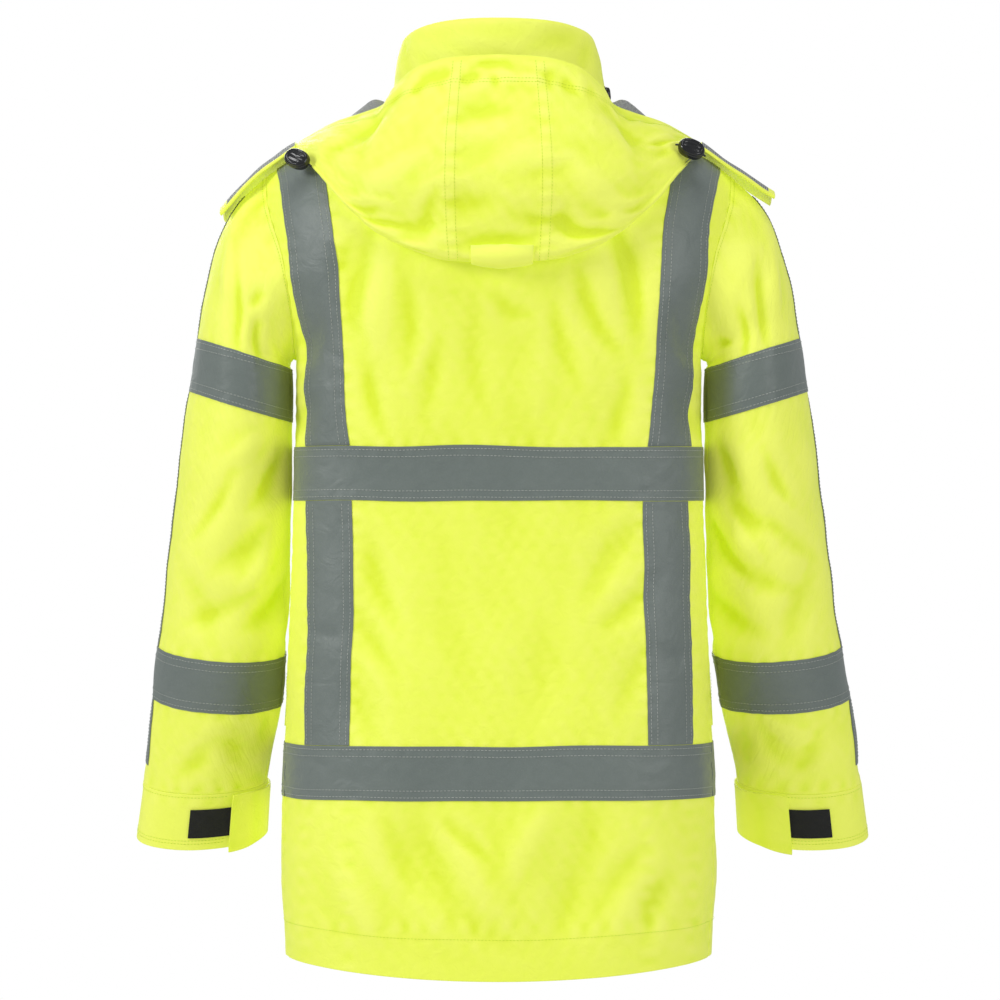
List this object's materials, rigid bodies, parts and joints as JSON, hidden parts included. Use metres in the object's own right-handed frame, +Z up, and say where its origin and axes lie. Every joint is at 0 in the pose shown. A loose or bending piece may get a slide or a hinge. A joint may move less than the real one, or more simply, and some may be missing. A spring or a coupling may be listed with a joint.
{
  "type": "hi-vis work jacket",
  "caption": "Hooded hi-vis work parka with reflective tape, worn and filled out with no wearer, open at neck, hem and cuffs.",
  "frame": {"origin": "middle of the neck opening, level with the two points where the shoulder seams meet the collar", "axes": "+Z up along the wearer's spine, +X to the wearer's left, +Y to the wearer's back, front at -Y"},
  "size_m": [0.7134, 0.2947, 0.9063],
  "materials": {
    "shell": "matte coated oxford weave",
    "tape": "satin grey reflective",
    "loop_tape": "matte black pile",
    "plastic": "glossy black"
  },
  "bodies": {
    "root": {"back_panel": "shell", "band_lower_left": "tape", "band_lower_right": "tape", "band_upper_left": "tape", "band_upper_right": "tape", "brace_back_left": "tape", "brace_back_right": "tape", "brace_front_left": "tape", "brace_front_right": "tape", "brace_low_left": "tape", "brace_low_right": "tape", "chin_flap_left": "shell", "chin_flap_right": "shell", "collar": "shell", "collar_lock": "plastic", "cord_lock_left": "plastic", "cord_lock_right": "plastic", "cuff_left": "shell", "cuff_patch_left": "loop_tape", "cuff_patch_right": "loop_tape", "cuff_right": "shell", "cuff_tab_left": "shell", "cuff_tab_right": "shell", "front_left": "shell", "front_right": "shell", "hem_band_back": "tape", "hem_band_front_left": "tape", "hem_band_front_right": "tape", "hood": "shell", "hood_loop": "shell", "pocket_flap_left": "shell", "pocket_flap_right": "shell", "sleeve_back_left": "shell", "sleeve_back_right": "shell", "sleeve_front_left": "shell", "sleeve_front_right": "shell", "storm_flap": "shell", "stripe_low_left": "tape", "stripe_low_right": "tape", "stripe_middle_left": "tape", "stripe_middle_right": "tape", "stripe_top_left": "tape", "stripe_top_right": "tape", "waist_band_back": "tape", "waist_band_front_left": "tape", "waist_band_front_right": "tape", "zip": "plastic"}
  },
  "joints": []
}
